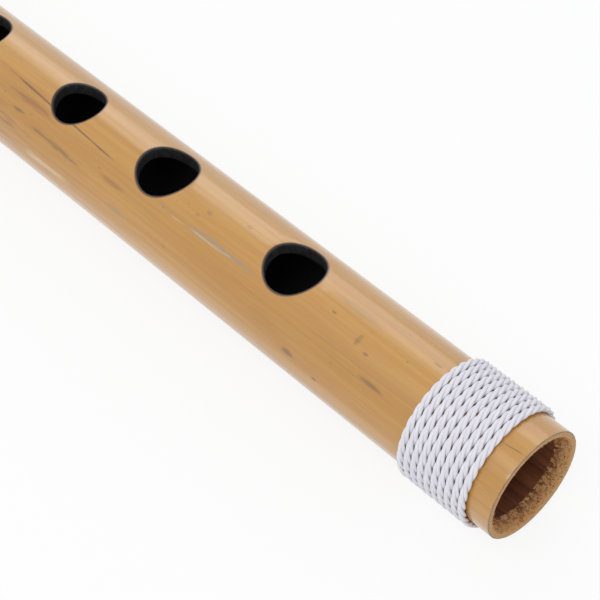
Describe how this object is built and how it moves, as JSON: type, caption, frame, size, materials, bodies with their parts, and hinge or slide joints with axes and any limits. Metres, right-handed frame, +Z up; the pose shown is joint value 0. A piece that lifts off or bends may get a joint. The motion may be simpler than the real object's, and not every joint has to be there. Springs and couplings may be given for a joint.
{
  "type": "transverse bamboo flute",
  "caption": "Side-blown bamboo flute: a lacquered tube with a blow hole and a row of finger holes, a cork stopper inside and a white cord binding near each end.",
  "frame": {"origin": "below the middle of the flute's length, on the surface that the undersides of its two bindings rest on", "axes": "+X along the tube towards the open foot, +Z up through the blow hole and the finger holes"},
  "size_m": [0.425, 0.0242, 0.024],
  "materials": {
    "bamboo": "satin lacquer over golden tan culm",
    "cork": "matt natural cork",
    "cord": "soft sheen twisted white nylon"
  },
  "bodies": {
    "flute": {"bamboo_tube": "bamboo", "foot_binding": "cord", "head_binding": "cord"},
    "stopper": {"cork_stopper": "cork"}
  },
  "joints": [
    {"name": "stopper_slide", "type": "slide", "parent": "flute", "child": "stopper", "axis": [1, 0, 0], "range_m": [-0.006, 0.003]}
  ]
}
